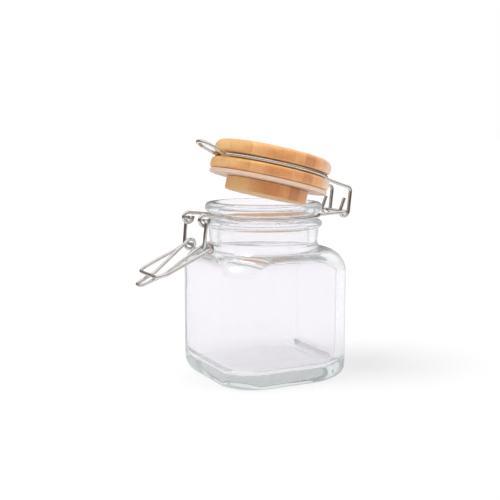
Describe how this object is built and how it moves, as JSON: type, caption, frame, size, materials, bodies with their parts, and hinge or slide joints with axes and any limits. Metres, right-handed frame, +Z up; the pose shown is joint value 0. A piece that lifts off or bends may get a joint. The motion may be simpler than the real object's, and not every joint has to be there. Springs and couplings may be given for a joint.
{
  "type": "spice jar",
  "caption": "Small square glass spice jar with a turned bamboo lid, hinged and latched by bent steel wires, its lid a little open and the latch hanging loose.",
  "frame": {"origin": "middle of the flat base, on the surface that the jar stands on", "axes": "+Z up, the latch at -Y, the hinge at +Y, and every hinge line along X; the part is the same on either side of X = 0"},
  "size_m": [0.053, 0.0917, 0.095],
  "materials": {
    "glass": "clear moulded glass, faintly green where it is thick",
    "bamboo": "laminated bamboo, turned and oiled, satin",
    "silicone": "translucent silicone, matt",
    "steel_wire": "drawn stainless wire, bright"
  },
  "bodies": {
    "jar": {"glass_jar": "glass", "neck_wire": "steel_wire"},
    "lid": {"bamboo_lid": "bamboo", "silicone_seal": "silicone", "lid_wire": "steel_wire"},
    "lever": {"lever_handle": "steel_wire"},
    "bail": {"latch_bail": "steel_wire"}
  },
  "joints": [
    {"name": "lid_hinge", "type": "hinge", "parent": "jar", "child": "lid", "pos_m": [0, 0.034, 0.0652], "axis": [-1, 0, 0], "range_deg": [-13.3, 100]},
    {"name": "lever_pivot", "type": "hinge", "parent": "jar", "child": "lever", "pos_m": [0, -0.0295, 0.0641], "axis": [-1, 0, 0], "range_deg": [-29, 131]},
    {"name": "bail_pivot", "type": "hinge", "parent": "lever", "child": "bail", "pos_m": [0, -0.0285, 0.0534], "axis": [1, 0, 0], "range_deg": [-140, 0]}
  ]
}
